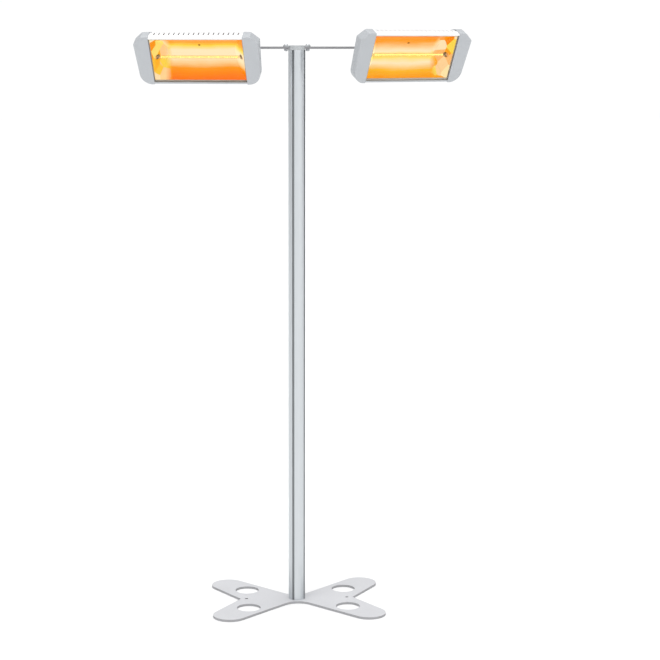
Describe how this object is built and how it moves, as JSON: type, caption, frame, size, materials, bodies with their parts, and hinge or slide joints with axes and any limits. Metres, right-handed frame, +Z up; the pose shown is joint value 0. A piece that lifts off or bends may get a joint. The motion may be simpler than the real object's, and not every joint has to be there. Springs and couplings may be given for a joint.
{
  "type": "outdoor heater",
  "caption": "Free-standing outdoor heater: petal-shaped floor plate, grooved two-piece pole and two quartz-lamp heads that pan and tilt on short arms.",
  "frame": {"origin": "on the pole axis at the underside of the floor plate", "axes": "+Z up the pole, -Y the way the heads face, +X to the right of someone who stands in front and looks at the heads"},
  "size_m": [1.1718, 0.476, 2.0638],
  "materials": {
    "powder_coat_grey": "fine matt powder coat",
    "satin_aluminium": "satin anodised, drawn lengthwise",
    "zinc_steel": "zinc plated",
    "crown_grey": "satin paint",
    "dark_grey_steel": "satin paint",
    "white_enamel": "smooth gloss powder coat",
    "grey_cap": "satin powder coat",
    "heat_glass": "clear heat-proof glass",
    "gasket_fibre": "woven glass-fibre tape",
    "gold_reflector": "polished, lit orange by the lamp",
    "quartz": "clear quartz",
    "tungsten": "glowing",
    "ceramic": "unglazed",
    "black_nylon": "moulded"
  },
  "bodies": {
    "stand": {"base_plate": "powder_coat_grey", "base_plug": "satin_aluminium", "base_bolts": "zinc_steel", "lower_pole": "satin_aluminium", "pole_joiner": "satin_aluminium", "upper_pole": "satin_aluminium", "pole_screws": "zinc_steel", "crown": "crown_grey", "left_arm": "dark_grey_steel", "right_arm": "dark_grey_steel", "arm_bolts": "zinc_steel", "arm_nuts": "zinc_steel", "pan_bolts": "zinc_steel", "pan_washers": "zinc_steel", "pan_nuts": "zinc_steel"},
    "left_yoke": {"left_yoke": "dark_grey_steel", "left_tilt_bolt": "zinc_steel", "left_tilt_nut": "zinc_steel"},
    "left_head": {"left_head_bracket": "dark_grey_steel", "left_bracket_bolts": "zinc_steel", "left_housing": "white_enamel", "left_inner_cap": "grey_cap", "left_outer_cap": "grey_cap", "left_cap_screws": "zinc_steel", "left_glass": "heat_glass", "left_gasket": "gasket_fibre", "left_top_trim": "white_enamel", "left_bottom_trim": "grey_cap", "left_reflector": "gold_reflector", "left_reflector_ends": "gold_reflector", "left_reflector_rivet": "zinc_steel", "left_lamp_tube": "quartz", "left_filament": "tungsten", "left_lamp_ends": "ceramic", "left_lamp_holders": "ceramic", "left_terminal_block": "ceramic", "left_cable_gland": "black_nylon"},
    "right_yoke": {"right_yoke": "dark_grey_steel", "right_tilt_bolt": "zinc_steel", "right_tilt_nut": "zinc_steel"},
    "right_head": {"right_head_bracket": "dark_grey_steel", "right_bracket_bolts": "zinc_steel", "right_housing": "white_enamel", "right_inner_cap": "grey_cap", "right_outer_cap": "grey_cap", "right_cap_screws": "zinc_steel", "right_glass": "heat_glass", "right_gasket": "gasket_fibre", "right_top_trim": "white_enamel", "right_bottom_trim": "grey_cap", "right_reflector": "gold_reflector", "right_reflector_ends": "gold_reflector", "right_reflector_rivet": "zinc_steel", "right_lamp_tube": "quartz", "right_filament": "tungsten", "right_lamp_ends": "ceramic", "right_lamp_holders": "ceramic", "right_terminal_block": "ceramic", "right_cable_gland": "black_nylon"}
  },
  "joints": [
    {"name": "left_pan", "type": "hinge", "parent": "stand", "child": "left_yoke", "pos_m": [-0.322, 0, 2.004], "axis": [0, 0, 1], "range_deg": [-47, 13]},
    {"name": "left_tilt", "type": "hinge", "parent": "left_yoke", "child": "left_head", "pos_m": [-0.322, 0, 2.026], "axis": [0.9744, -0.225, 0], "range_deg": [-31, 14]},
    {"name": "right_pan", "type": "hinge", "parent": "stand", "child": "right_yoke", "pos_m": [0.351, 0, 2.004], "axis": [0, 0, 1], "range_deg": [-23, 37]},
    {"name": "right_tilt", "type": "hinge", "parent": "right_yoke", "child": "right_head", "pos_m": [0.351, 0, 2.026], "axis": [0.9205, 0.3907, 0], "range_deg": [-26, 19]}
  ]
}
